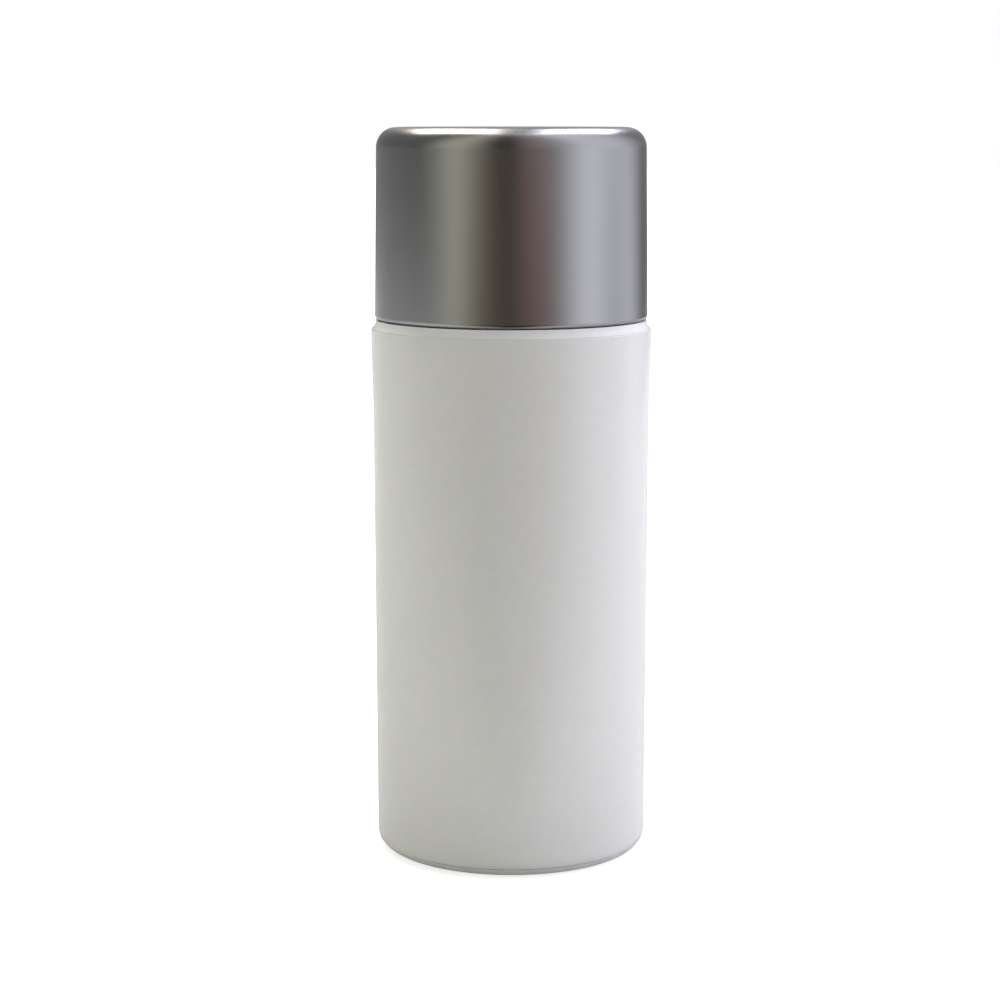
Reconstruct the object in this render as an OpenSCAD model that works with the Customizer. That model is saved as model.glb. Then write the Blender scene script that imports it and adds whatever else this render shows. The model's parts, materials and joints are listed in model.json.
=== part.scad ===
// Airless foundation bottle, 30 ml: a white double-walled bottle with a follower piston,
// a snap-in pump with a push-button actuator, and a pull-off cap in a satin metal shell.
// The origin is the centre of the base, on the surface that the bottle stands on. +Z is up,
// and the nozzle points along -Y. All sizes are in millimetres.

/* [Bottle] */
// Outside diameter at the top of the body
body_d = 35.5; // [35.2:0.1:36.2]
// Height of the body, from the table to the seam under the shoulder band
body_h = 67.1; // [60:0.1:80]
// Draft of the body's wall in degrees, narrower at the base
body_draft = 0.25; // [0:0.05:0.3]
// Radius of the rounded bottom edge
base_round = 2.2; // [1.8:0.1:2.4]
// Bore of the inner bottle, which the follower piston rides in
product_d = 28; // [26:0.1:28.2]

/* [Cap] */
// Outside diameter of the cap at its rim
cap_d = 34.5; // [34:0.1:34.8]
// Height of the cap's shell
cap_h = 23.85; // [23.5:0.05:30]
// Draft of the cap's wall in degrees, narrower at the top
cap_draft = 0.84; // [0:0.02:0.9]
// Radius of the cap's top edge
cap_round = 2.5; // [1:0.1:2.6]

/* [Pump] */
// Travel of the push button
stroke = 4.5; // [3:0.1:4.6]
// Outside diameter of the push button
button_d = 19; // [18.8:0.1:19.4]
// Free play of the sliding seal on the stem, which opens the outlet
seal_play = 0.8; // [0.4:0.1:0.8]
// Rise of the inlet ball off its seat
ball_lift = 1; // [0.5:0.1:1]

/* [Hidden] */
$fn = 144;

// Clearances
slip = 0.05;            // round parts that slide or turn in each other
seam_gap = 0.08;        // height of the hairline gap at a seam
rim_gap = 0.15;         // height of the shadow gap under the cap's rim

// Body
body_r = body_d / 2;
body_flare = 0.18;                              // how far the body widens over the collar's skirt
flare_low_z = body_h - 12;
flare_high_z = body_h - 1;
foot_r = body_r - body_flare - body_h * tan(body_draft);    // radius of the drafted wall at the table
body_edge_round = 0.25;                         // radius of the body's top edge
bottle_bore_r = 15.7;
product_r = product_d / 2;
inner_wall = 1.3;
base_seam_z = 1.2;                              // seam between body and base cap

// Base cap
foot_recess = 0.5;      // depth of the hollow under the base
foot_in_r = 13.2;
deck_z = 1.8;           // top of the base cap's floor
plug_top_z = 3.4;
plug_in_r = 14.5;
vent_r = 0.5;

// Inner bottle
mouth_z = plug_top_z + slip;
shoulder_z = body_h - 6;            // top of the shoulder
shoulder_t = 1.5;
roof_z = shoulder_z - shoulder_t;   // underside of the shoulder
neck_top_z = body_h + 0.4;
neck_r = 7;
neck_bore_r = 5.6;
neck_bead_z = shoulder_z + 3.1;     // underside of the snap bead
neck_bead_r = 7.35;

// Follower piston
piston_z = deck_z + slip;
piston_top_z = piston_z + 8.15;
piston_wall = 1.1;
piston_waist_r = product_r - 0.7;
piston_well_r = 6.2;                // well in the middle, which takes the pump's lower end
piston_well_depth = 5.6;

// Shoulder collar
band_h = 1.1;                       // height of the band that shows between body and cap
band_top_z = body_h + band_h;
band_low_r = body_r - 0.12;
band_in = 0.5;                      // how far the band leans in on its way up
spigot_r = 14.5;                    // outside of the wall that the cap slides over
spigot_wall = 1.2;
spigot_top_z = band_top_z + 7;
skirt_in_r = 14.3;
groove_z = band_top_z + 3.3;        // shallow groove round the spigot
groove_h = 0.8;

// Cap
cap_r = cap_d / 2;
cap_rim_z = band_top_z + rim_gap;
cap_top_z = cap_rim_z + cap_h;
shell_t = 0.5;
rim_round = 0.4;
liner_wall = 1.2;
liner_rim_z = band_top_z + slip;
liner_top_z = cap_top_z - shell_t - slip;
grip_ribs = 8;                      // ribs in the liner that grip the spigot
rib_w = 1;
rib_in_r = spigot_r + 0.06;

// Pump chamber, from the top of the neck up and down
gasket_t = 0.8;
flange_z = neck_top_z + gasket_t;   // underside of the housing's flange
flange_t = 1;
flange_r = 6.9;
chamber_r = 4;
housing_r = 5.2;
housing_top_z = neck_top_z + 4;
housing_low_z = roof_z - 5.7;
port_r = 0.6;
port_h = 1;
ball_r = 1.5;
ball_room_r = 2.4;
ball_seat_z = housing_low_z + port_h;
seat_gap = 0.02;
// On a 45 degree seat, the ball's centre is its radius times the square root of 2 above the cone's apex.
ball_z = ball_seat_z - port_r + (ball_r + seat_gap) * sqrt(2);
cage_z = ball_z + ball_r + ball_lift + slip;
cage_t = 0.8;
cage_slots = 3;

// Stem and what rides on it
stem_r = 1.9;
stem_bore_r = 1;
guide_z = housing_top_z - 1.8;      // underside of the stem guide
guide_top_z = housing_top_z + 0.8;
stem_flange_r = 2.6;
stem_flange_t = 0.7;
stem_low_z = guide_z - slip - stem_flange_t;
rod_r = 1.22;
rod_bore_r = 1.25;
rod_top_z = stem_low_z + 2.6;
seal_h = 2.85;
seal_z = stem_low_z - slip - seal_play - seal_h;
poppet_t = 0.8;
poppet_z = seal_z - slip - poppet_t;
poppet_r = 2.6;
poppet_flutes = 3;

// Lock ring
lock_r = 8.2;
lock_bore_r = 7.45;
lock_hook_r = 7.08;
lock_low_z = neck_bead_z - 1.8;
lock_web_z = flange_z + flange_t + slip;
lock_top_z = lock_web_z + 0.95;

// Button
button_r = button_d / 2;
button_wall = 0.9;
button_round = 1.4;
button_low_z = spigot_top_z - 0.9;      // edge of the skirt, just inside the collar
button_top_z = spigot_top_z + stroke + 6;
dish_r = 7.2;                           // finger dish in the top
dish_depth = 0.7;
plate_z = button_top_z - 4.8;           // underside of the core, which the spring pushes on
plate_top_z = plate_z + 3.2;
core_r = button_r - button_wall - slip;
core_wall = 0.8;
core_low_z = plate_z - 4.3;
socket_r = 2.75;
socket_low_z = plate_z - 3.7;
stem_top_z = plate_z - 0.2;

// Nozzle
nozzle_z = plate_z + 1;
nozzle_r = 2;
nozzle_len = 13;            // from the axis to the tip
nozzle_plug_r = 1.6;
nozzle_plug_len = 4.2;
channel_r = 0.9;
valve_r = 1.35;
valve_len = 1.6;
tip_slope = 12;             // the tip is cut back by this angle

// Spring
wire_d = 0.5;
spring_r = 3.3;             // to the middle of the wire
spring_low_z = guide_top_z + 0.03;
spring_top_z = plate_z - 0.03;
spring_turns = 6;
spring_steps = 24;          // points in a turn
wire_sides = 8;
end_pitch = wire_d * 1.04;  // pitch of the closed turn at each end

// ---------- helpers ----------

// Points on an arc about [x, z], from angle a0 to a1
function arc(x, z, r, a0, a1, n = 8) =
    [for (i = [0:n]) [x + r * cos(a0 + (a1 - a0) * i / n), z + r * sin(a0 + (a1 - a0) * i / n)]];

// Outside radius of the drafted body at height z, without the flare at its top
function body_r_at(z) = body_r - body_flare - (body_h - z) * tan(body_draft);

// Outside radius of the drafted cap at height z, inset by t
function cap_r_at(z, t = 0) = cap_r - t - (z - cap_rim_z) * tan(cap_draft);

// A solid of revolution about Z, from points [radius, height]
module turned(points) {
    rotate_extrude() polygon(points);
}

// A cylinder from the axis out along -Y, at height z
module along_nozzle(r, from, to, z = nozzle_z) {
    translate([0, -from, z]) rotate([90, 0, 0]) cylinder(r = r, h = to - from, $fn = 64);
}

// ---------- bottle ----------

// White outer shell, open at both ends, with a drafted wall that widens a little at the top
module outer_bottle() {
    low_z = base_seam_z + seam_gap;
    a = asin((base_round - low_z) / base_round);
    color([0.88, 0.88, 0.86]) turned(concat(
        [[bottle_bore_r, low_z]],
        arc(foot_r - base_round, base_round, base_round, -a, 0, 6),
        [[body_r_at(flare_low_z), flare_low_z], [body_r, flare_high_z]],
        arc(body_r - body_edge_round, body_h - body_edge_round, body_edge_round, 0, 90, 5),
        [[bottle_bore_r, body_h]]
    ));
}

// Floor that plugs the outer bottle and carries on its rounded edge, with a vent in the middle
module base_cap() {
    edge_r = base_round - 0.06;
    a = asin((base_round - base_seam_z) / edge_r);
    color([0.82, 0.82, 0.80]) turned(concat(
        [[foot_in_r, 0], [foot_r - base_round, 0]],
        arc(foot_r - base_round, base_round, edge_r, -80, -a, 6),
        [
            [bottle_bore_r - 0.1, base_seam_z], [bottle_bore_r - 0.1, 2.2], [bottle_bore_r - 0.04, 2.5],
            [bottle_bore_r - 0.1, 2.8], [bottle_bore_r - 0.3, plug_top_z], [plug_in_r, plug_top_z],
            [plug_in_r, deck_z], [vent_r, deck_z], [vent_r, foot_recess], [foot_in_r - 0.2, foot_recess]
        ]
    ));
}

// Container for the product: a bore for the follower piston, a flat shoulder and a neck
module inner_bottle() {
    r = product_r + inner_wall;
    color([0.90, 0.91, 0.90]) turned(concat(
        [[product_r + 0.3, mouth_z], [r, mouth_z]],
        arc(r - 0.8, shoulder_z - 0.8, 0.8, 0, 90, 4),
        [
            [neck_r, shoulder_z], [neck_r, neck_bead_z], [neck_bead_r, neck_bead_z + 0.3],
            [neck_bead_r, neck_bead_z + 0.8], [neck_r, neck_bead_z + 1.4], [neck_r, neck_top_z],
            [neck_bore_r, neck_top_z], [neck_bore_r, roof_z], [product_r - 0.5, roof_z],
            [product_r, roof_z - 0.5], [product_r, mouth_z + 0.8]
        ]
    ));
}

// Follower piston with an upper and a lower wiping lip
module follower_piston() {
    z = piston_z;
    top = piston_top_z;
    lip_r = product_r - slip;
    w = piston_waist_r;
    floor_z = top - piston_well_depth;
    color([0.93, 0.93, 0.92]) turned([
        [0, floor_z - piston_wall], [piston_well_r + piston_wall, floor_z - piston_wall],
        [piston_well_r + piston_wall, top - 2], [w - piston_wall, top - 2], [w - piston_wall, z], [w, z],
        [w, z + 3.6], [lip_r, z + 2.9], [lip_r, z + 3.4], [w, z + 4.5],
        [w, top - 2.2], [lip_r, top - 0.7], [lip_r, top - 0.1], [lip_r - 0.25, top],
        [w - 0.6, top - 0.9], [piston_well_r + 0.5, top - 0.9], [piston_well_r, top - 1.3],
        [piston_well_r, floor_z], [0, floor_z]
    ]);
}

// Shoulder piece: the band under the cap, the spigot that the cap slides over and the skirt
module shoulder_collar() {
    in_r = spigot_r - spigot_wall;
    // The band's outside is a hollow arc that leans in by band_in and ends upright under the cap.
    bow_r = (band_h * band_h + band_in * band_in) / (2 * band_in);
    bow_a = asin(band_h / bow_r);
    color([0.92, 0.92, 0.91]) turned(concat(
        [[skirt_in_r, shoulder_z + slip], [bottle_bore_r - slip, shoulder_z + slip]],
        [[bottle_bore_r - slip, body_h]],
        arc(band_low_r - band_in + bow_r, band_top_z, bow_r, 180 + bow_a, 180, 5),
        [
            [spigot_r, band_top_z], [spigot_r, groove_z], [spigot_r - 0.2, groove_z + 0.2],
            [spigot_r - 0.2, groove_z + groove_h - 0.2], [spigot_r, groove_z + groove_h]
        ],
        arc(spigot_r - 0.6, spigot_top_z - 0.6, 0.6, 0, 90, 4),
        [
            [button_r + 0.5, spigot_top_z], [button_r + 0.3, spigot_top_z - 0.2],
            [button_r + 0.3, spigot_top_z - spigot_wall], [in_r, spigot_top_z - spigot_wall],
            [in_r, body_h - 1], [skirt_in_r, body_h - 2]
        ]
    ));
}

// ---------- cap ----------

// Satin metal shell of the cap
module cap_shell() {
    top = cap_top_z;
    corner_r = cap_r_at(top - cap_round);
    color([0.48, 0.48, 0.49]) turned(concat(
        [[cap_r_at(cap_rim_z, shell_t), cap_rim_z], [cap_r - rim_round, cap_rim_z]],
        arc(cap_r - rim_round, cap_rim_z + rim_round, rim_round, -60, 0, 4),
        arc(corner_r - cap_round, top - cap_round, cap_round, 0, 90, 8),
        [[0, top], [0, top - shell_t]],
        arc(corner_r - cap_round, top - cap_round, cap_round - shell_t, 90, 0, 6)
    ));
}

// Plastic liner of the cap, with upright ribs that grip the spigot
module cap_liner() {
    out = shell_t + slip;
    in = out + liner_wall;
    corner = cap_round - out;
    corner_z = liner_top_z - corner;
    ceiling_z = liner_top_z - liner_wall;
    rib_top_z = spigot_top_z - 0.4;
    color([0.93, 0.93, 0.92]) {
        turned(concat(
            [[cap_r_at(cap_rim_z, in), liner_rim_z], [cap_r_at(cap_rim_z, out + 0.35), liner_rim_z]],
            [[cap_r_at(cap_rim_z, out), cap_rim_z + 0.4]],
            arc(cap_r_at(corner_z, out) - corner, corner_z, corner, 0, 90, 5),
            [[0, liner_top_z], [0, ceiling_z], [cap_r_at(ceiling_z, in) - 0.6, ceiling_z]],
            [[cap_r_at(ceiling_z, in), ceiling_z - 0.6]]
        ));
        for (i = [0:grip_ribs - 1])
            rotate(360 / grip_ribs * (i + 0.5))
                intersection() {
                    translate([rib_in_r, -rib_w / 2, liner_rim_z + 0.6])
                        cube([2, rib_w, rib_top_z - liner_rim_z - 0.6]);
                    cylinder(r = cap_r_at(rib_top_z, in) + 0.2, h = rib_top_z);
                }
    }
}

// ---------- pump ----------

// Snap ring that clamps the pump's flange down on the neck
module lock_ring() {
    color([0.86, 0.87, 0.88]) turned([
        [lock_hook_r, lock_low_z], [lock_r, lock_low_z], [lock_r, lock_top_z - 0.3],
        [lock_r - 0.3, lock_top_z], [housing_r + 0.1, lock_top_z], [housing_r + 0.1, lock_web_z],
        [lock_bore_r, lock_web_z], [lock_bore_r, neck_bead_z - 0.2], [lock_hook_r, neck_bead_z - 0.5]
    ]);
}

// Soft washer between the neck and the pump's flange
module neck_gasket() {
    color([0.95, 0.95, 0.93]) turned([
        [neck_bore_r + 0.1, neck_top_z], [flange_r, neck_top_z],
        [flange_r, flange_z], [neck_bore_r + 0.1, flange_z]
    ]);
}

// Pump chamber with its flange, ball room and inlet port
module pump_housing() {
    room_z = ball_seat_z + ball_room_r - port_r;
    color([0.88, 0.89, 0.90]) turned([
        [port_r, housing_low_z], [housing_r - 0.6, housing_low_z], [housing_r, housing_low_z + 0.6],
        [housing_r, flange_z], [flange_r, flange_z], [flange_r, flange_z + flange_t],
        [housing_r, flange_z + flange_t], [housing_r, housing_top_z], [chamber_r, housing_top_z],
        [chamber_r, cage_z], [ball_room_r, cage_z], [ball_room_r, room_z], [port_r, ball_seat_z]
    ]);
}

// Steel ball of the inlet valve, on its seat
module inlet_ball() {
    color([0.75, 0.76, 0.78]) translate([0, 0, ball_z]) sphere(r = ball_r);
}

// Slotted disc that keeps the ball in its room
module ball_cage() {
    color([0.82, 0.84, 0.86]) difference() {
        translate([0, 0, cage_z]) cylinder(r = chamber_r - slip, h = cage_t);
        translate([0, 0, cage_z - 1]) cylinder(r = 0.9, h = cage_t + 2, $fn = 48);
        for (i = [0:cage_slots - 1])
            rotate(90 + 360 / cage_slots * i)
                translate([2.35, 0, cage_z - 1]) cylinder(r = 0.75, h = cage_t + 2, $fn = 48);
    }
}

// Bush that closes the chamber and guides the stem
module stem_guide() {
    color([0.84, 0.85, 0.86]) turned([
        [stem_r + slip, guide_z], [chamber_r - slip, guide_z], [chamber_r - slip, housing_top_z],
        [housing_r + 0.7, housing_top_z], [housing_r + 0.7, guide_top_z - 0.3],
        [housing_r + 0.4, guide_top_z], [stem_r + slip, guide_top_z]
    ]);
}

// Hollow stem that carries the button
module pump_stem() {
    color([0.90, 0.90, 0.90]) turned([
        [rod_bore_r, stem_low_z], [stem_flange_r, stem_low_z], [stem_flange_r, stem_low_z + stem_flange_t],
        [stem_r, stem_low_z + stem_flange_t], [stem_r, stem_top_z - 0.3], [stem_r - 0.3, stem_top_z],
        [stem_bore_r, stem_top_z], [stem_bore_r, rod_top_z + 0.5], [rod_bore_r, rod_top_z + 0.2]
    ]);
}

// Fluted rod pressed into the stem, with the disc that the sliding seal closes on
module stem_poppet() {
    color([0.85, 0.86, 0.87]) difference() {
        turned([
            [0, poppet_z], [poppet_r - 0.4, poppet_z], [poppet_r, poppet_z + 0.4],
            [poppet_r, poppet_z + poppet_t], [rod_r, poppet_z + poppet_t],
            [rod_r, rod_top_z - 0.2], [rod_r - 0.2, rod_top_z], [0, rod_top_z]
        ]);
        for (i = [0:poppet_flutes - 1])
            rotate(90 + 360 / poppet_flutes * i)
                translate([rod_r + 0.1, 0, poppet_z + poppet_t + 0.2])
                    cylinder(r = 0.45, h = rod_top_z, $fn = 32);
    }
}

// Sliding seal with two lips, which pumps and opens the outlet
module stem_seal() {
    z = seal_z;
    top = z + seal_h;
    lip_r = chamber_r - slip;
    color([0.96, 0.96, 0.94]) turned([
        [rod_r + 0.08, z], [2.3, z], [2.3, z + 0.9], [3.1, z + 0.9], [lip_r - 0.25, z + 0.1],
        [lip_r, z + 0.2], [3.5, z + 1.3], [3.5, top - 1.3], [lip_r, top - 0.2], [lip_r - 0.25, top - 0.1],
        [3.1, top - 0.9], [2.3, top - 0.9], [2.3, top], [rod_r + 0.08, top]
    ]);
}

// Height of the spring's wire at turn t: a closed turn at each end, and an even rise between them
function spring_z(t) =
    let (
        low = spring_low_z + wire_d / 2,
        high = spring_top_z - wire_d / 2,
        rise = (high - low - 2 * end_pitch) / (spring_turns - 2)
    )
    t < 1 ? low + end_pitch * t
        : t > spring_turns - 1 ? high - end_pitch * (spring_turns - t)
        : low + end_pitch + rise * (t - 1);

// Steel return spring round the stem, above the chamber
module return_spring() {
    rings = spring_turns * spring_steps;
    points = [
        for (i = [0:rings])
            let (t = i / spring_steps, a = 360 * t)
            for (j = [0:wire_sides - 1])
                let (
                    b = 360 / wire_sides * j,
                    r = spring_r + wire_d / 2 * cos(b)
                )
                [r * cos(a), r * sin(a), spring_z(t) + wire_d / 2 * sin(b)]
    ];
    sides = [
        for (i = [0:rings - 1], j = [0:wire_sides - 1])
            let (k = (j + 1) % wire_sides, low = i * wire_sides, high = low + wire_sides)
            [low + j, high + j, high + k, low + k]
    ];
    ends = [
        [for (j = [0:wire_sides - 1]) j],
        [for (j = [wire_sides - 1:-1:0]) rings * wire_sides + j]
    ];
    color([0.62, 0.63, 0.65]) polyhedron(points, concat(sides, ends), convexity = 12);
}

// ---------- button ----------

// Inside of the button: socket for the stem, seat for the spring and the channel to the nozzle
module actuator_core() {
    color([0.93, 0.93, 0.93]) difference() {
        turned([
            [stem_r + slip, socket_low_z], [socket_r, socket_low_z], [socket_r, plate_z],
            [core_r - core_wall, plate_z], [core_r - core_wall, core_low_z], [core_r, core_low_z],
            [core_r, plate_top_z - 0.6], [core_r - 0.6, plate_top_z], [0, plate_top_z],
            [0, plate_top_z - 1.1], [channel_r, plate_top_z - 1.1], [channel_r, stem_top_z + 0.1],
            [stem_r + slip, stem_top_z + 0.1]
        ]);
        along_nozzle(channel_r, 0, button_r);
        along_nozzle(nozzle_plug_r, core_r - nozzle_plug_len, button_r);
        along_nozzle(nozzle_r + 0.05, core_r - 0.9, button_r);
    }
}

// Outside of the button, with a finger dish and a round window for the nozzle
module actuator_shell() {
    bow_r = (dish_r * dish_r + dish_depth * dish_depth) / (2 * dish_depth);
    in_r = button_r - button_wall;
    color([0.92, 0.92, 0.91]) difference() {
        turned(concat(
            [[in_r, button_low_z], [button_r - 0.2, button_low_z], [button_r, button_low_z + 0.2]],
            arc(button_r - button_round, button_top_z - button_round, button_round, 0, 90, 6),
            [[0, button_top_z], [0, plate_top_z + slip]],
            [[in_r - 0.6, plate_top_z + slip], [in_r, plate_top_z - 0.55]]
        ));
        translate([0, 0, button_top_z - dish_depth + bow_r]) sphere(r = bow_r);
        along_nozzle(nozzle_r + 0.05, button_r - 3, button_r + 1);
    }
}

// Nozzle, pushed in through the window of the button
module nozzle_tube() {
    in = core_r - nozzle_plug_len + slip;
    neck = core_r - 0.85;
    color([0.90, 0.90, 0.90]) difference() {
        union() {
            along_nozzle(nozzle_plug_r - 0.02, in, neck + 0.5);
            along_nozzle(nozzle_r, neck, nozzle_len);
        }
        along_nozzle(channel_r, in - 1, nozzle_len + 1);
        along_nozzle(valve_r + 0.02, nozzle_len - valve_len - 0.5, nozzle_len + 1);
        translate([0, -nozzle_len, nozzle_z - nozzle_r]) rotate([-tip_slope, 0, 0])
            translate([-5, -5, -2]) cube([10, 5, 10]);
    }
}

// Soft slit valve in the nozzle's mouth, which keeps air out
module nozzle_valve() {
    from = nozzle_len - valve_len - 0.45;
    color([0.80, 0.81, 0.82]) difference() {
        along_nozzle(valve_r, from, from + 0.9);
        along_nozzle(0.6, from - 1, from + 0.5);
        translate([-0.5, -from - 1.5, nozzle_z - 0.05]) cube([1, 3, 0.1]);
    }
}

cap_shell();
cap_liner();
shoulder_collar();
outer_bottle();
inner_bottle();
base_cap();
follower_piston();
lock_ring();
neck_gasket();
pump_housing();
ball_cage();
inlet_ball();
stem_guide();
return_spring();
pump_stem();
stem_poppet();
stem_seal();
actuator_core();
actuator_shell();
nozzle_tube();
nozzle_valve();
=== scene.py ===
"""Looks of the foundation bottle: smooth turned shells over the CAD frame, studio light and camera."""

import json
import math

import bpy
from mathutils import Matrix, Vector


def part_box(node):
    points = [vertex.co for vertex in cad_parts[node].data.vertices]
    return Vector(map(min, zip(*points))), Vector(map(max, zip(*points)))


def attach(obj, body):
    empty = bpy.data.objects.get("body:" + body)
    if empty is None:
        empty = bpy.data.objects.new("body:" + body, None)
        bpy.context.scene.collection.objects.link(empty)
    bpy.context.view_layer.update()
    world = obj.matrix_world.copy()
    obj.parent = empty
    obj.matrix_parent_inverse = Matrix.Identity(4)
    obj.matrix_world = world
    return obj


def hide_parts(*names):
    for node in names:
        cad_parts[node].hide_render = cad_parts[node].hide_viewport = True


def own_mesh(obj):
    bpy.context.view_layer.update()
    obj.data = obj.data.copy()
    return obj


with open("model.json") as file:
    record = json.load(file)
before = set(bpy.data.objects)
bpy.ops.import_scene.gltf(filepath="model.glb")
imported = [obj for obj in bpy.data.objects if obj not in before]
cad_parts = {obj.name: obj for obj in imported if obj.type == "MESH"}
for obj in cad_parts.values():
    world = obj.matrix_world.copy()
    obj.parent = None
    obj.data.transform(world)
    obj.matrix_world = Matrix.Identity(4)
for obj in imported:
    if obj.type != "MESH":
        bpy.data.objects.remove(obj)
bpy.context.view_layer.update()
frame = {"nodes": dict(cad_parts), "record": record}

MM = 0.001

# ---------- measures, from the frame ----------

body_low, body_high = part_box("outer_bottle")
band_low, band_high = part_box("shoulder_collar")
shell_low, shell_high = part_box("cap_shell")
liner_low, liner_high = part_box("cap_liner")
foot_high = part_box("base_cap")[1]
button_low, button_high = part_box("actuator_shell")

BODY_R = body_high.x
SEAM_Z = body_high.z                # seam between the body and the shoulder band
CAP_R = shell_high.x
CAP_RIM_Z = shell_low.z
CAP_TOP_Z = shell_high.z
BUTTON_R = button_high.x
SPIGOT_TOP_Z = band_high.z

# Small sizes that the boxes don't give, as in the CAD
SLIP = 0.05 * MM
BODY_DRAFT = math.radians(0.25)
BODY_BORE_R = 15.7 * MM
BODY_EDGE_ROUND = 0.12 * MM
BODY_FLARE = 0.18 * MM              # how far the body widens over the collar's skirt
FLARE_DOWN = (0.3 * MM, 12.3 * MM)  # where that starts and ends, below the seam
BASE_ROUND = 2.2 * MM
FOOT_SEAM_Z = 1.2 * MM
FOOT_IN_R = 13.2 * MM
FOOT_HOLLOW = 0.5 * MM
FOOT_DECK_Z = 1.8 * MM
VENT_R = 0.5 * MM
BAND_H = 1.1 * MM
BAND_IN = 0.5 * MM
BAND_STEP = 0.12 * MM
SPIGOT_R = 14.5 * MM
SPIGOT_WALL = 1.2 * MM
SKIRT_IN_R = 14.3 * MM
GROOVE_UP = 3.3 * MM
CAP_DRAFT = math.radians(0.84)
CAP_ROUND = 2.5 * MM
CAP_WALL = 0.5 * MM
RIM_ROUND = 0.6 * MM                # bend at the cap's rim
RIM_TURN = 50                       # and how far it turns, in degrees
LINER_WALL = 1.2 * MM
GRIP_RIBS = 8
RIB_W = 1.0 * MM
BUTTON_WALL = 0.9 * MM
BUTTON_ROUND = 1.4 * MM
BUTTON_ROOF = 1.55 * MM             # from the top down to the inside
DISH_R = 7.2 * MM
DISH_DEPTH = 0.7 * MM
NOZZLE_R = 2.0 * MM
NOZZLE_PLUG_R = 1.58 * MM
NOZZLE_BORE_R = 0.9 * MM
VALVE_R = 1.35 * MM
TIP_SLOPE = 12
NOZZLE_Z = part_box("nozzle_tube")[0].z + NOZZLE_R
WIRE_R = 0.25 * MM
SPRING_TURNS = 6
END_PITCH = 0.52 * MM               # of the closed turn at each end of the spring

AROUND = 256                        # facets round a turned piece


# ---------- turned pieces ----------

def arc(x, z, r, start, end, steps):
    """Points on an arc about (x, z), with angles in degrees."""
    angles = [math.radians(start + (end - start) * i / steps) for i in range(steps + 1)]
    return [(x + r * math.cos(a), z + r * math.sin(a)) for a in angles]


def rounded(points, radii, steps=6):
    """A closed outline whose corners are rounded by the radii: one for each point, 0 for a sharp one."""
    out = []
    count = len(points)
    for i, (point, radius) in enumerate(zip(points, radii)):
        p = Vector(point)
        before = Vector(points[i - 1]) - p
        after = Vector(points[(i + 1) % count]) - p
        if radius <= 0:
            out.append((p.x, p.y))
            continue
        half = before.angle(after) / 2
        reach = radius / math.tan(half)
        reach = min(reach, before.length * 0.499, after.length * 0.499)
        radius = reach * math.tan(half)
        start = p + before.normalized() * reach
        end = p + after.normalized() * reach
        centre = p + (before.normalized() + after.normalized()).normalized() * (radius / math.sin(half))
        a = start - centre
        turn = a.angle_signed(end - centre)
        for k in range(steps + 1):
            t = -turn * k / steps
            out.append((
                centre.x + a.x * math.cos(t) - a.y * math.sin(t),
                centre.y + a.x * math.sin(t) + a.y * math.cos(t),
            ))
    return out


def profile_normals(points, crease):
    """For each point of a closed outline, its normal towards the edge before it and the edge after it.

    A smooth point's normal is weighted by the lengths of its two edges, so that a long straight wall
    stays flat up to where its rounding starts.
    """
    count = len(points)
    edges = []
    for i in range(count):
        d = Vector(points[(i + 1) % count]) - Vector(points[i])
        edges.append((Vector((d.y, -d.x)).normalized(), d.length))
    normals = []
    for i in range(count):
        (before, a), (after, b) = edges[i - 1], edges[i]
        if before.angle(after, 0) > crease:
            normals.append((before, after))
        else:
            mean = (before * a + after * b).normalized()
            normals.append((mean, mean))
    return normals


def turned(name, points, crease=35, around=AROUND):
    """A closed solid of revolution about Z from an outline of (radius, height), counter-clockwise."""
    normals = profile_normals(points, math.radians(crease))
    count = len(points)
    vertices = []
    rows = []
    for r, z in points:
        if r < 1e-7:
            rows.append([len(vertices)] * around)
            vertices.append((0, 0, z))
        else:
            rows.append(list(range(len(vertices), len(vertices) + around)))
            for k in range(around):
                a = 2 * math.pi * k / around
                vertices.append((r * math.cos(a), r * math.sin(a), z))
    faces = []
    corner_normals = []
    for i in range(count):
        j = (i + 1) % count
        if points[i][0] < 1e-7 and points[j][0] < 1e-7:
            continue
        low, high = normals[i][1], normals[j][0]
        for k in range(around):
            k2 = (k + 1) % around
            corners = [
                (rows[i][k], low, k), (rows[i][k2], low, k2),
                (rows[j][k2], high, k2), (rows[j][k], high, k),
            ]
            if points[i][0] < 1e-7:
                corners = [corners[0], corners[2], corners[3]]
            elif points[j][0] < 1e-7:
                corners = [corners[0], corners[1], corners[3]]
            faces.append([c[0] for c in corners])
            for _, n, turn in corners:
                a = 2 * math.pi * turn / around
                corner_normals.append((n.x * math.cos(a), n.x * math.sin(a), n.y))
    mesh = bpy.data.meshes.new(name)
    mesh.from_pydata(vertices, [], faces)
    mesh.validate()
    mesh.polygons.foreach_set("use_smooth", [True] * len(mesh.polygons))
    mesh.normals_split_custom_set(corner_normals)
    mesh.update()
    piece = bpy.data.objects.new(name, mesh)
    bpy.context.scene.collection.objects.link(piece)
    return piece


def dress(piece, material, body, slot, *nodes):
    """Gives a new piece its material and body, and hides the CAD nodes that it stands for. The slot is not
    used.
    """
    piece.data.materials.clear()
    piece.data.materials.append(material)
    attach(piece, body)
    if nodes:
        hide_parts(*nodes)
    return piece


# ---------- materials ----------

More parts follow.
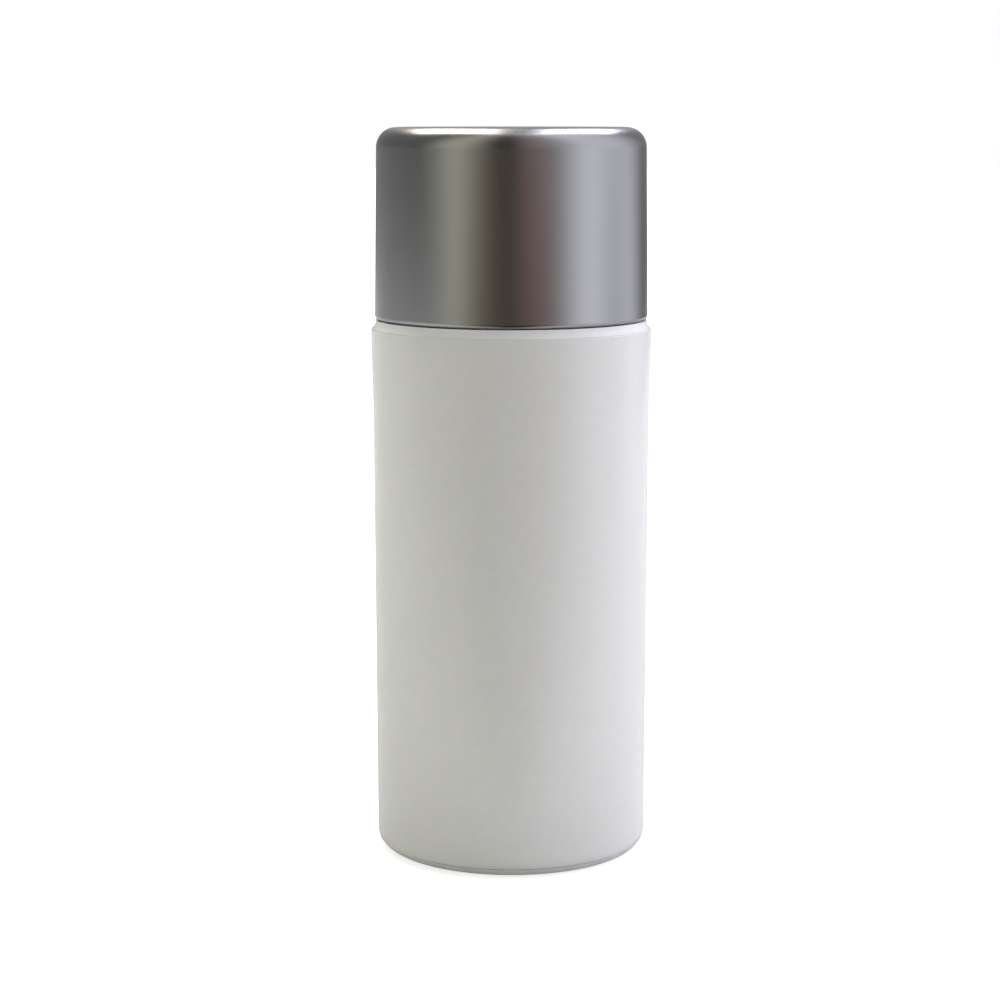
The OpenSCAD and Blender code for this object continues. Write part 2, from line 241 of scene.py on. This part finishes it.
class Nodes:
    """A short way to write a material's nodes."""

    def __init__(self, name):
        self.material = bpy.data.materials.new(name)
        self.material.use_nodes = True
        self.tree = self.material.node_tree
        self.shader = self.tree.nodes["Principled BSDF"]
        self.place = self.tree.nodes.new("ShaderNodeTexCoord").outputs["Object"]

    def add(self, kind, **settings):
        node = self.tree.nodes.new(kind)
        for key, value in settings.items():
            setattr(node, key, value)
        return node

    def link(self, a, b):
        self.tree.links.new(a, b)

    def set(self, **values):
        """Sets constant inputs of the shader, with _ for a space in the name."""
        for key, value in values.items():
            self.shader.inputs[key.replace("_", " ")].default_value = value

    def scaled(self, x, y, z):
        """The object coordinates, stretched."""
        mapping = self.add("ShaderNodeMapping")
        mapping.inputs["Scale"].default_value = (x, y, z)
        self.link(self.place, mapping.inputs["Vector"])
        return mapping.outputs["Vector"]

    def noise(self, scale, detail=2.0, roughness=0.5, vector=None):
        """Noise with features of about 1/scale metres, from 0 to 1."""
        node = self.add("ShaderNodeTexNoise")
        node.inputs["Scale"].default_value = scale
        node.inputs["Detail"].default_value = detail
        node.inputs["Roughness"].default_value = roughness
        self.link(self.place if vector is None else vector, node.inputs["Vector"])
        return node.outputs["Fac"]

    def ranged(self, value, low, high, from_low=0.3, from_high=0.7):
        """The value, mapped to a range."""
        node = self.add("ShaderNodeMapRange")
        node.inputs["From Min"].default_value = from_low
        node.inputs["From Max"].default_value = from_high
        node.inputs["To Min"].default_value = low
        node.inputs["To Max"].default_value = high
        self.link(value, node.inputs["Value"])
        return node.outputs["Result"]

    def ramp(self, share, stops):
        """A grey from the share, by stops of (position, value)."""
        node = self.add("ShaderNodeValToRGB")
        self.link(share, node.inputs["Fac"])
        node.color_ramp.interpolation = "EASE"
        for i, (position, value) in enumerate(stops):
            stop = node.color_ramp.elements[i] if i < 2 else node.color_ramp.elements.new(1)
            stop.position = position
            stop.color = (value, value, value, 1)
        return node.outputs["Color"]

    def mixed(self, share, first, second):
        """A colour between two."""
        node = self.add("ShaderNodeMix", data_type="RGBA")
        self.link(share, node.inputs["Factor"])
        for socket, value in zip((node.inputs[6], node.inputs[7]), (first, second)):
            if isinstance(value, tuple):
                socket.default_value = (*value, 1)
            else:
                self.link(value, socket)
        return node.outputs[2]

    def bump(self, height, distance, strength=1.0, under=None):
        """A bump from a height, in metres of depth, over another bump."""
        node = self.add("ShaderNodeBump")
        node.inputs["Distance"].default_value = distance
        node.inputs["Strength"].default_value = strength
        self.link(height, node.inputs["Height"])
        if under is not None:
            self.link(under, node.inputs["Normal"])
        return node.outputs["Normal"]

    def finish(self, colour=None, roughness=None, normal=None):
        for value, name in ((colour, "Base Color"), (roughness, "Roughness"), (normal, "Normal")):
            if value is not None:
                self.link(value, self.shader.inputs[name])
        return self.material


def shade(colour, by):
    return tuple(min(1.0, c * by) for c in colour)


def plastic(name, colour, gloss, peel=0.25, mottle=0.012, deep=0.0):
    """Moulded plastic: faint mottling, wiped gloss and the slight waviness of a polished mould."""
    n = Nodes(name)
    n.set(IOR=1.5)
    if deep:
        n.set(Subsurface_Weight=deep, Subsurface_Scale=0.0015)
    tint = n.ranged(n.noise(900, 3), 0, 1)
    base = n.mixed(tint, shade(colour, 1 - mottle), shade(colour, 1 + mottle))
    wiped = n.ranged(n.noise(160, 4, 0.6, n.scaled(1, 1, 0.35)), gloss * 0.85, gloss * 1.25)
    normal = n.bump(n.noise(420, 2), 0.00004 * peel)
    return n.finish(base, wiped, n.bump(n.noise(5200, 2), 0.000004, 0.5, normal))


def satin_metal(name, colour, gloss, grain=1.0):
    """Bead-blasted and anodised aluminium: a fine, even grain with a little cloudiness in its gloss."""
    n = Nodes(name)
    n.set(Metallic=1.0)
    cloud = n.ranged(n.noise(220, 3), 0, 1)
    fleck = n.ranged(n.noise(9000, 2, 0.6), 0, 1)
    base = n.mixed(cloud, shade(colour, 0.985), shade(colour, 1.015))
    flecked = n.mixed(fleck, shade(colour, 0.985), shade(colour, 1.015))
    both = n.add("ShaderNodeMix", data_type="RGBA")
    both.inputs["Factor"].default_value = 0.5
    n.link(base, both.inputs[6])
    n.link(flecked, both.inputs[7])
    rough = n.ranged(n.noise(3500, 3, 0.6), gloss * 0.96, gloss * 1.04)
    blast = n.bump(n.noise(7000, 3, 0.65), 0.0000045 * grain)
    return n.finish(both.outputs[2], rough, blast)


def soft_rubber(name, colour):
    """Silicone: matt, with a dusty bloom."""
    n = Nodes(name)
    bloom = n.ranged(n.noise(700, 4, 0.6), 0, 1)
    rough = n.ranged(n.noise(500, 3), 0.5, 0.65)
    return n.finish(
        n.mixed(bloom, shade(colour, 0.96), shade(colour, 1.03)), rough, n.bump(n.noise(3000, 3), 0.00001)
    )


def drawn_steel(name, colour):
    """Bright steel with fine drawing lines."""
    n = Nodes(name)
    n.set(Metallic=1.0)
    lines = n.noise(4000, 2, 0.5, n.scaled(1, 1, 8))
    rough = n.ranged(lines, 0.16, 0.28)
    base = n.mixed(lines, shade(colour, 0.92), shade(colour, 1.06))
    return n.finish(base, rough, n.bump(lines, 0.000004))


BODY_WHITE = (0.84, 0.86, 0.83)
METAL = (0.30, 0.30, 0.303)

MATERIALS = {
    "satin_metal": satin_metal("satin_metal", METAL, 0.26, 0.05),
    "liner_plastic": plastic("liner_plastic", (0.86, 0.86, 0.85), 0.35),
    "collar_plastic": plastic("collar_plastic", (0.93, 0.93, 0.93), 0.18, deep=0.1),
    "bottle_plastic": plastic("bottle_plastic", BODY_WHITE, 0.20, deep=0.1),
    "base_plastic": plastic("base_plastic", shade(BODY_WHITE, 0.97), 0.26, deep=0.1),
    "inner_plastic": plastic("inner_plastic", (0.80, 0.81, 0.80), 0.38),
    "piston_plastic": plastic("piston_plastic", (0.84, 0.84, 0.82), 0.40),
    "pump_plastic": plastic("pump_plastic", (0.78, 0.79, 0.80), 0.36),
    "core_plastic": plastic("core_plastic", (0.83, 0.83, 0.83), 0.34),
    "button_plastic": plastic("button_plastic", (0.84, 0.84, 0.83), 0.20, deep=0.1),
    "nozzle_plastic": plastic("nozzle_plastic", (0.82, 0.82, 0.82), 0.22, deep=0.1),
    "soft_seal": soft_rubber("soft_seal", (0.82, 0.82, 0.80)),
    "steel": drawn_steel("steel", (0.60, 0.61, 0.63)),
}


def dress_cad_nodes():
    """Every CAD node gets the finish of its slot."""
    for row in frame["record"]["subparts"]:
        mesh = frame["nodes"][row["node"]].data
        mesh.materials.clear()
        mesh.materials.append(MATERIALS[row["material_slot"]])


# ---------- visible pieces ----------

def body_r_at(z):
    """Outside radius of the body, whose flare fades out smoothly on the way down."""
    high, low = FLARE_DOWN
    fade = min(1, max(0, (SEAM_Z - z - high) / (low - high)))
    return BODY_R - BODY_FLARE * (1 - math.cos(math.pi * fade)) / 2 - (SEAM_Z - z) * math.tan(BODY_DRAFT)


def cap_r_at(z, inset=0.0):
    return CAP_R - inset - (z - CAP_RIM_Z) * math.tan(CAP_DRAFT)


def make_body():
    low_z = body_low.z
    foot_r = body_r_at(0)
    start = -math.degrees(math.asin((BASE_ROUND - low_z) / BASE_ROUND))
    top_r = body_r_at(SEAM_Z) - BODY_EDGE_ROUND
    high, low = FLARE_DOWN
    flare = [SEAM_Z - low + (low - high) * i / 12 for i in range(13)]
    points = (
        [(BODY_BORE_R, low_z)]
        + arc(foot_r - BASE_ROUND, BASE_ROUND, BASE_ROUND, start, 0, 10)
        + [(body_r_at(z), z) for z in flare]
        + arc(top_r, SEAM_Z - BODY_EDGE_ROUND, BODY_EDGE_ROUND, 0, 90, 6)
        + [(BODY_BORE_R, SEAM_Z)]
    )
    piece = turned("body_shell", points)
    dress(piece, MATERIALS["bottle_plastic"], "bottle", "bottle_plastic", "outer_bottle")


def make_shoulder():
    """The band under the cap, the spigot that the cap slides over and the skirt inside the body."""
    skirt_r = BODY_BORE_R - SLIP
    band_low_r = BODY_R - BAND_STEP
    band_top_z = SEAM_Z + BAND_H
    bow_r = (BAND_H**2 + BAND_IN**2) / (2 * BAND_IN)
    bow = math.degrees(math.asin(BAND_H / bow_r))
    groove_z = band_top_z + GROOVE_UP
    hole_r = BUTTON_R + 0.3 * MM
    in_r = SPIGOT_R - SPIGOT_WALL
    lip_z = SPIGOT_TOP_Z - SPIGOT_WALL
    outline = [
        (SKIRT_IN_R, band_low.z, 0.1), (skirt_r, band_low.z, 0.2), (skirt_r, SEAM_Z, 0),
        (band_low_r - 0.06 * MM, SEAM_Z, 0), (band_low_r, SEAM_Z + 0.06 * MM, 0),
    ]
    hollow = arc(band_low_r - BAND_IN + bow_r, band_top_z, bow_r, 178 + bow, 180, 9)
    outline += [(r, z, 0) for r, z in hollow]
    outline += [
        (SPIGOT_R, band_top_z, 0.1), (SPIGOT_R, groove_z, 0.08),
        (SPIGOT_R - 0.2 * MM, groove_z + 0.2 * MM, 0.15), (SPIGOT_R - 0.2 * MM, groove_z + 0.6 * MM, 0.15),
        (SPIGOT_R, groove_z + 0.8 * MM, 0.08), (SPIGOT_R, SPIGOT_TOP_Z, 0.6),
        (hole_r, SPIGOT_TOP_Z, 0.25), (hole_r, lip_z, 0.1), (in_r, lip_z, 0.3),
        (in_r, SEAM_Z - 1 * MM, 0.2), (SKIRT_IN_R, SEAM_Z - 2 * MM, 0.2),
    ]
    points = rounded([(r, z) for r, z, _ in outline], [radius * MM for _, _, radius in outline])
    piece = turned("shoulder_piece", points, 25)
    dress(piece, MATERIALS["collar_plastic"], "bottle", "collar_plastic", "shoulder_collar")


def make_foot():
    """The base cap, which carries on the body's rounded edge and has a shallow hollow with the vent."""
    edge_r = BASE_ROUND - 0.06 * MM
    middle_r = body_r_at(0) - BASE_ROUND
    end = -math.degrees(math.asin((BASE_ROUND - FOOT_SEAM_Z) / edge_r))
    plug_r = BODY_BORE_R - 0.1 * MM
    outline = [(FOOT_IN_R, 0, 0.15), (middle_r, 0, 0.1)]
    outline += [(r, z, 0) for r, z in arc(middle_r, BASE_ROUND, edge_r, -80, end, 10)]
    outline += [
        (plug_r, FOOT_SEAM_Z, 0), (plug_r, foot_high.z, 0.2), (plug_r - 1 * MM, foot_high.z, 0.1),
        (plug_r - 1 * MM, FOOT_DECK_Z, 0.2), (VENT_R, FOOT_DECK_Z, 0.1), (VENT_R, FOOT_HOLLOW, 0.2),
        (FOOT_IN_R - 0.2 * MM, FOOT_HOLLOW, 0.2),
    ]
    points = rounded([(r, z) for r, z, _ in outline], [radius * MM for _, _, radius in outline])
    piece = turned("foot_piece", points, 25)
    dress(piece, MATERIALS["base_plastic"], "bottle", "base_plastic", "base_cap")


def make_cap_shell():
    """The metal shell: a blasted wall, a tight bend at the top and a small one at the rim."""
    corner_z = CAP_TOP_Z - CAP_ROUND
    corner_r = cap_r_at(corner_z) - CAP_ROUND
    bend_z = CAP_RIM_Z + RIM_ROUND * math.sin(math.radians(RIM_TURN))
    points = (
        [(CAP_R - CAP_WALL, CAP_RIM_Z + 0.1 * MM), (CAP_R - CAP_WALL + 0.1 * MM, CAP_RIM_Z)]
        + arc(CAP_R - RIM_ROUND, bend_z, RIM_ROUND, -RIM_TURN, 0, 10)
        + arc(corner_r, corner_z, CAP_ROUND, 0, 90, 20)
        + [(0, CAP_TOP_Z), (0, CAP_TOP_Z - CAP_WALL)]
        + arc(corner_r, corner_z, CAP_ROUND - CAP_WALL, 90, 0, 8)
    )
    piece = turned("cap_metal_shell", points, 42)
    dress(piece, MATERIALS["satin_metal"], "cap", "satin_metal", "cap_shell")


def box_piece(name, low, high):
    """A box, as a tool for cutting or joining."""
    xs, ys, zs = ((low[i], high[i]) for i in range(3))
    corners = [(x, y, z) for x in xs for y in ys for z in zs]
    faces = [(0, 1, 3, 2), (4, 6, 7, 5), (0, 4, 5, 1), (2, 3, 7, 6), (0, 2, 6, 4), (1, 5, 7, 3)]
    mesh = bpy.data.meshes.new(name)
    mesh.from_pydata(corners, [], faces)
    piece = bpy.data.objects.new(name, mesh)
    bpy.context.scene.collection.objects.link(piece)
    return piece


def combine(piece, tool, operation):
    """Cuts a tool out of a piece, or joins it on, and removes the tool."""
    change = piece.modifiers.new("combine", "BOOLEAN")
    change.object = tool
    change.operation = operation
    change.solver = "EXACT"
    bpy.context.view_layer.objects.active = piece
    bpy.ops.object.modifier_apply(modifier=change.name)
    bpy.data.objects.remove(tool)


def settle(piece, crease=30):
    """Smooth shading up to the crease, with flat areas kept flat."""
    bpy.ops.object.select_all(action="DESELECT")
    piece.select_set(True)
    bpy.context.view_layer.objects.active = piece
    bpy.ops.mesh.customdata_custom_splitnormals_clear()
    bpy.ops.object.shade_smooth_by_angle(angle=math.radians(crease))
    even = piece.modifiers.new("even", "WEIGHTED_NORMAL")
    even.keep_sharp = True
    bpy.ops.object.modifier_apply(modifier=even.name)


def make_liner():
    """The plastic inner cap, with upright ribs that grip the spigot."""
    out = CAP_WALL + SLIP
    inner = out + LINER_WALL
    corner = CAP_ROUND - out
    corner_z = liner_high.z - corner
    ceiling_z = liner_high.z - LINER_WALL
    points = [
        (cap_r_at(CAP_RIM_Z, inner), liner_low.z + 0.2 * MM),
        (cap_r_at(CAP_RIM_Z, inner - 0.2 * MM), liner_low.z),
        (cap_r_at(CAP_RIM_Z, out + 0.35 * MM), liner_low.z),
    ]
    points += [(cap_r_at(CAP_RIM_Z, out), CAP_RIM_Z + 0.4 * MM)]
    points += arc(cap_r_at(corner_z, out) - corner, corner_z, corner, 0, 90, 8)
    points += [(0, liner_high.z), (0, ceiling_z)]
    points += arc(cap_r_at(ceiling_z, inner) - 0.6 * MM, ceiling_z - 0.6 * MM, 0.6 * MM, 90, 0, 6)
    liner = turned("cap_liner_piece", points, 30, 192)
    rib_in_r = SPIGOT_R + 0.06 * MM
    rib_out_r = cap_r_at(SPIGOT_TOP_Z, inner) + 0.3 * MM
    for i in range(GRIP_RIBS):
        low = (rib_in_r, -RIB_W / 2, liner_low.z + 0.6 * MM)
        high = (rib_out_r, RIB_W / 2, SPIGOT_TOP_Z - 0.4 * MM)
        rib = box_piece("rib", low, high)
        rib.data.transform(Matrix.Rotation(2 * math.pi * (i + 0.5) / GRIP_RIBS, 4, "Z"))
        combine(liner, rib, "UNION")
    settle(liner)
    dress(liner, MATERIALS["liner_plastic"], "cap", "liner_plastic", "cap_liner")


def along_nozzle(piece):
    """Turns a piece from upright at the origin to lie along the nozzle, outwards."""
    piece.data.transform(Matrix.Rotation(math.pi / 2, 4, "X"))
    piece.data.transform(Matrix.Translation((0, 0, NOZZLE_Z)))


def make_button():
    """The push button's outside: a skirt, a rounded shoulder, a finger dish and the nozzle's window."""
    bow_r = (DISH_R**2 + DISH_DEPTH**2) / (2 * DISH_DEPTH)
    bow = math.degrees(math.asin(DISH_R / bow_r))
    bow_z = button_high.z - DISH_DEPTH + bow_r
    in_r = BUTTON_R - BUTTON_WALL
    low_z, top_z = button_low.z, button_high.z
    roof_z = top_z - BUTTON_ROOF
    rim_r = DISH_R + 0.1 * MM
    points = (
        [(in_r, low_z + 0.1 * MM), (in_r + 0.1 * MM, low_z), (BUTTON_R - 0.2 * MM, low_z)]
        + arc(BUTTON_R - 0.2 * MM, low_z + 0.2 * MM, 0.2 * MM, -60, 0, 4)
        + arc(BUTTON_R - BUTTON_ROUND, top_z - BUTTON_ROUND, BUTTON_ROUND, 0, 90, 12)
        + [(rim_r + 0.15 * MM, top_z), (rim_r, top_z - 0.008 * MM)]
        + arc(0, bow_z, bow_r, -90 + bow * 0.985, -90, 16)[:-1]
        + [(0, bow_z - bow_r), (0, roof_z), (in_r - 0.6 * MM, roof_z), (in_r, roof_z - 0.6 * MM)]
    )
    shell = turned("button_shell", points, 30, 192)
    cut_r = NOZZLE_R + SLIP
    cutter = turned("window", [
        (0, BUTTON_R - 3 * MM), (cut_r, BUTTON_R - 3 * MM), (cut_r, BUTTON_R - 0.3 * MM),
        (cut_r + 0.35 * MM, BUTTON_R + 0.3 * MM), (0, BUTTON_R + 0.3 * MM),
    ], 30, 64)
    along_nozzle(cutter)
    combine(shell, cutter, "DIFFERENCE")
    settle(shell, 25)
    dress(shell, MATERIALS["button_plastic"], "head", "button_plastic", "actuator_shell")


def make_nozzle():
    """The nozzle: a tube with a rounded mouth that is cut back at a slope."""
    tip = -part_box("nozzle_tube")[0].y
    back = -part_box("nozzle_tube")[1].y
    neck = back + 3.35 * MM
    outline = [
        (NOZZLE_BORE_R, back, 0), (NOZZLE_PLUG_R, back, 0.15), (NOZZLE_PLUG_R, neck, 0),
        (NOZZLE_R, neck, 0.1), (NOZZLE_R, tip, 0.25), (VALVE_R + 0.02 * MM, tip, 0.12),
        (VALVE_R + 0.02 * MM, tip - 2.1 * MM, 0), (NOZZLE_BORE_R, tip - 2.1 * MM, 0),
    ]
    points = rounded([(r, z) for r, z, _ in outline], [radius * MM for _, _, radius in outline])
    tube = turned("nozzle_piece", points, 30, 96)
    slope = math.tan(math.radians(TIP_SLOPE))
    for vertex in tube.data.vertices:
        if vertex.co.z > tip - 0.6 * MM:
            vertex.co.z -= slope * (vertex.co.y + NOZZLE_R)
    along_nozzle(tube)
    settle(tube)
    dress(tube, MATERIALS["nozzle_plastic"], "head", "nozzle_plastic", "nozzle_tube")


def make_spring():
    """The return spring between the stem guide and the button, which the pump shortens when pressed; here
    it is built at one length.
    """
    low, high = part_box("return_spring")
    coil_r = high.x - WIRE_R
    bottom, top = low.z + WIRE_R, high.z - WIRE_R
    rise = (top - bottom - 2 * END_PITCH) / (SPRING_TURNS - 2)

    def height(turn):
        if turn < 1:
            return bottom + END_PITCH * turn
        if turn > SPRING_TURNS - 1:
            return top - END_PITCH * (SPRING_TURNS - turn)
        return bottom + END_PITCH + rise * (turn - 1)

    steps, sides = 48, 16
    vertices = []
    for i in range(SPRING_TURNS * steps + 1):
        a = 2 * math.pi * i / steps
        for k in range(sides):
            b = 2 * math.pi * k / sides
            r = coil_r + WIRE_R * math.cos(b)
            vertices.append((r * math.cos(a), r * math.sin(a), height(i / steps) + WIRE_R * math.sin(b)))
    faces = []
    for i in range(SPRING_TURNS * steps):
        for k in range(sides):
            k2 = (k + 1) % sides
            faces.append((i * sides + k, (i + 1) * sides + k, (i + 1) * sides + k2, i * sides + k2))
    last = SPRING_TURNS * steps * sides
    faces.append(tuple(range(sides)))
    faces.append(tuple(last + k for k in reversed(range(sides))))
    mesh = bpy.data.meshes.new("spring_piece")
    mesh.from_pydata(vertices, [], faces)
    spring = bpy.data.objects.new("spring_piece", mesh)
    bpy.context.scene.collection.objects.link(spring)
    settle(spring)
    dress(spring, MATERIALS["steel"], "bottle", "steel", "return_spring")
    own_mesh(spring)


# ---------- light, floor and camera ----------

# What stands round the bottle at its own height, and what stands higher. For each thing: its middle, in
# degrees to the right of the camera, how far it reaches to each side, and its light.
LOW_THINGS = [
    (180, 100, (0.25, 0.25, 0.25)),     # the back of the room
    (-130, 50, (0.2, 0.2, 0.2)),        # a grey wall on the left
    (-48, 22, (0.9, 0.9, 0.7)),         # a pale, warm board
    (-24, 24, (0.25, 0.15, 0.1)),       # its brown edge
    (0, 50, (0.15, 0.15, 0.1)),         # the dark round the camera
    (22, 24, (0.3, 0.1, 0.1)),          # a reddish panel
    (44, 24, (0.25, 0.25, 0.2)),        # a grey panel
    (70, 40, (1.7, 1.7, 1.9)),          # a broad light
    (114, 30, (1.3, 1.3, 1.5)),         # a second light
]
HIGH_THINGS = [
    (180, 120, (0.3, 0.3, 0.3)),        # the back
    (-100, 50, (0.15, 0.15, 0.15)),     # the left
    (-48, 40, (1.0, 1.0, 0.85)),        # over the board
    (20, 26, (0.5, 0.4, 0.4)),          # over the reddish panel
    (72, 56, (1.5, 1.5, 1.65)),         # over the lights
    (114, 36, (0.8, 0.8, 0.9)),
]
ROOM_STOPS = 31                     # of the colour ramps round the room
# Sines of the elevations between which the low things give way to the high ones, and those to the ceiling
HIGH_FROM = (-0.06, 0.06)
CEILING_FROM = (0.985, 0.998)
CEILING = (0.65, 0.60, 0.55)


def light_from(things, degrees):
    """The light from one direction: full at a thing's middle, fading out smoothly to its ends."""
    total = [0.0, 0.0, 0.0]
    for middle, reach, light in things:
        off = abs((degrees - middle + 180) % 360 - 180)
        share = (1 + math.cos(math.pi * min(off / reach, 1))) / 2
        total = [t + share * c for t, c in zip(total, light)]
    return total


def paint_world():
    """The room: lights on the right, a pale board on the left and the dark round the camera."""
    world = bpy.data.worlds.new("studio")
    bpy.context.scene.world = world
    world.use_nodes = True
    tree = world.node_tree

    def add(kind, **settings):
        node = tree.nodes.new(kind)
        for key, value in settings.items():
            setattr(node, key, value)
        return node

    split = add("ShaderNodeSeparateXYZ")
    tree.links.new(add("ShaderNodeTexCoord").outputs["Generated"], split.inputs[0])
    away = add("ShaderNodeMath", operation="MULTIPLY")
    away.inputs[1].default_value = -1
    tree.links.new(split.outputs["Y"], away.inputs[0])
    angle = add("ShaderNodeMath", operation="ARCTAN2")
    tree.links.new(split.outputs["X"], angle.inputs[0])
    tree.links.new(away.outputs[0], angle.inputs[1])
    share = add("ShaderNodeMapRange")
    share.inputs["From Min"].default_value = -math.pi
    share.inputs["From Max"].default_value = math.pi
    tree.links.new(angle.outputs[0], share.inputs["Value"])

    def walls(things):
        node = add("ShaderNodeValToRGB")
        tree.links.new(share.outputs["Result"], node.inputs["Fac"])
        ramp = node.color_ramp
        for i in range(ROOM_STOPS):
            stop = ramp.elements[i] if i < 2 else ramp.elements.new(1)
            stop.position = i / (ROOM_STOPS - 1)
            stop.color = (*light_from(things, 360 * stop.position - 180), 1)
        return node.outputs["Color"]

    def above(sines, low, high):
        height = add("ShaderNodeMapRange", interpolation_type="SMOOTHSTEP")
        height.inputs["From Min"].default_value, height.inputs["From Max"].default_value = sines
        tree.links.new(split.outputs["Z"], height.inputs["Value"])
        mix = add("ShaderNodeMix", data_type="RGBA")
        tree.links.new(height.outputs["Result"], mix.inputs["Factor"])
        tree.links.new(low, mix.inputs[6])
        if isinstance(high, tuple):
            mix.inputs[7].default_value = (*high, 1)
        else:
            tree.links.new(high, mix.inputs[7])
        return mix.outputs[2]

    room = above(CEILING_FROM, above(HIGH_FROM, walls(LOW_THINGS), walls(HIGH_THINGS)), CEILING)
    tree.links.new(room, tree.nodes["Background"].inputs["Color"])


# Softboxes over and behind the bottle: the corners of each in (x, y), and its light
SOFTBOXES = [
    (((-0.10, -0.06), (-0.64, 0.50), (-0.28, 1.28), (-0.04, 0.80)), (7.5, 7.0, 6.5)),
    (((0.19, -0.02), (0.69, 0.60), (0.40, 1.36), (0.12, 0.80)), (7.5, 7.5, 8.5)),
]
SOFTBOX_Z = 0.89


def sheet(name, corners, z):
    """A level sheet of the stage."""
    mesh = bpy.data.meshes.new(name)
    mesh.from_pydata([(x, y, z) for x, y in corners], [], [list(range(len(corners)))])
    piece = bpy.data.objects.new(name, mesh)
    bpy.context.scene.collection.objects.link(piece)
    return piece


def glowing(name, colour):
    material = bpy.data.materials.new(name)
    material.use_nodes = True
    tree = material.node_tree
    tree.nodes.clear()
    glow = tree.nodes.new("ShaderNodeEmission")
    glow.inputs["Color"].default_value = (*colour, 1)
    tree.links.new(glow.outputs[0], tree.nodes.new("ShaderNodeOutputMaterial").inputs[0])
    return material


def add_softboxes():
    for i, (corners, light) in enumerate(SOFTBOXES):
        box = sheet(f"softbox_{i}", corners, SOFTBOX_Z)
        box.data.materials.append(glowing(f"softbox_{i}", light))
        box.visible_camera = False


TABLE_R = 4.0
GLOW_NEAR = 0.66                    # the floor's own glow at the bottle and away from it
GLOW_FAR = 1.05
GLOW_REACH = (0.02, 0.16)           # distances between which it rises
BOUNCE_SIDES = ((-1.2, 0.31), (-0.4, 1.2))      # the sheet's ends in x and y
# How light the sheet is and how strongly it glows, by direction: -1 in front of the bottle, 1 behind it
BOUNCE = [
    (-0.95, 0.02, 0.00),
    (-0.45, 0.58, 0.22),
    (0.10, 0.61, 0.27),
    (0.80, 0.41, 0.11),
]
BOUNCE_FROM = 0.045                 # how far in front of the bottle the darker part begins


def lay_floor():
    """A pale floor for the camera, and under it a darker sheet, which sets the light from below."""
    corners = [(TABLE_R * x, TABLE_R * y) for x, y in ((-1, -1), (1, -1), (1, 1), (-1, 1))]
    floor = sheet("floor", corners, 0)
    n = Nodes("floor")
    n.set(Roughness=0.9, Specular_IOR_Level=0.0, Emission_Color=(1, 1, 1, 1))
    pale = n.mixed(n.noise(60, 3), (0.79, 0.79, 0.79), (0.80, 0.80, 0.80))
    away = n.add("ShaderNodeVectorMath", operation="LENGTH")
    n.link(n.place, away.inputs[0])
    glow = n.add("ShaderNodeMapRange", interpolation_type="SMOOTHSTEP")
    sockets = ("From Min", "From Max", "To Min", "To Max")
    for socket, value in zip(sockets, (*GLOW_REACH, GLOW_NEAR, GLOW_FAR)):
        glow.inputs[socket].default_value = value
    n.link(away.outputs["Value"], glow.inputs["Value"])
    n.link(glow.outputs["Result"], n.shader.inputs["Emission Strength"])
    floor.data.materials.append(n.finish(pale))
    floor.visible_diffuse = False
    floor.visible_glossy = False
    floor.visible_transmission = False
    floor.visible_shadow = False
    (x0, x1), (y0, y1) = BOUNCE_SIDES
    under = sheet("floor_sheet", [(x0, y0), (x1, y0), (x1, y1), (x0, y1)], -0.2 * MM)
    n = Nodes("floor_sheet")
    n.set(Roughness=0.9, Specular_IOR_Level=0.0, Emission_Color=(1, 1, 1, 1))
    moved = n.add("ShaderNodeVectorMath", operation="ADD")
    moved.inputs[1].default_value = (0, BOUNCE_FROM, 0)
    n.link(n.place, moved.inputs[0])
    way = n.add("ShaderNodeVectorMath", operation="NORMALIZE")
    n.link(moved.outputs["Vector"], way.inputs[0])
    split = n.add("ShaderNodeSeparateXYZ")
    n.link(way.outputs["Vector"], split.inputs[0])
    share = n.ranged(split.outputs["Y"], 0, 1, -1, 1)
    lightness, glow = (
        n.ramp(share, [((turn + 1) / 2, row[i]) for turn, *row in BOUNCE]) for i in range(2)
    )
    n.link(glow, n.shader.inputs["Emission Strength"])
    under.data.materials.append(n.finish(lightness))
    under.visible_camera = False


BACKDROP_R = 6.0


def hang_backdrop():
    """A white dome that only the camera sees."""
    bpy.ops.mesh.primitive_uv_sphere_add(segments=48, ring_count=24, radius=BACKDROP_R)
    dome = bpy.context.object
    dome.name = "backdrop"
    dome.data.materials.append(glowing("backdrop", (1, 1, 1)))
    dome.visible_diffuse = False
    dome.visible_glossy = False
    dome.visible_transmission = False
    dome.visible_shadow = False


# The camera's place, in radii of the body without its flare
CAMERA_AWAY = 17.892
CAMERA_UP = 5.3428
CAMERA_ASIDE = -0.0809
CAMERA_DOWN = 8.84                  # degrees below the horizon
LENS = 89.48                        # for a sensor 36 mm wide


def place_camera():
    data = bpy.data.cameras.new("camera")
    data.lens = LENS
    data.sensor_width = 36
    data.clip_start = 0.01
    data.clip_end = 50
    camera = bpy.data.objects.new("camera", data)
    unit = BODY_R - BODY_FLARE
    camera.location = (CAMERA_ASIDE * unit, -CAMERA_AWAY * unit, CAMERA_UP * unit)
    camera.rotation_euler = (math.radians(90 - CAMERA_DOWN), 0, 0)
    bpy.context.scene.collection.objects.link(camera)
    bpy.context.scene.camera = camera


dress_cad_nodes()
make_body()
make_shoulder()
make_foot()
make_cap_shell()
make_liner()
make_button()
make_nozzle()
make_spring()
paint_world()
add_softboxes()
lay_floor()
hang_backdrop()
place_camera()
bpy.context.scene.view_settings.view_transform = "Standard"
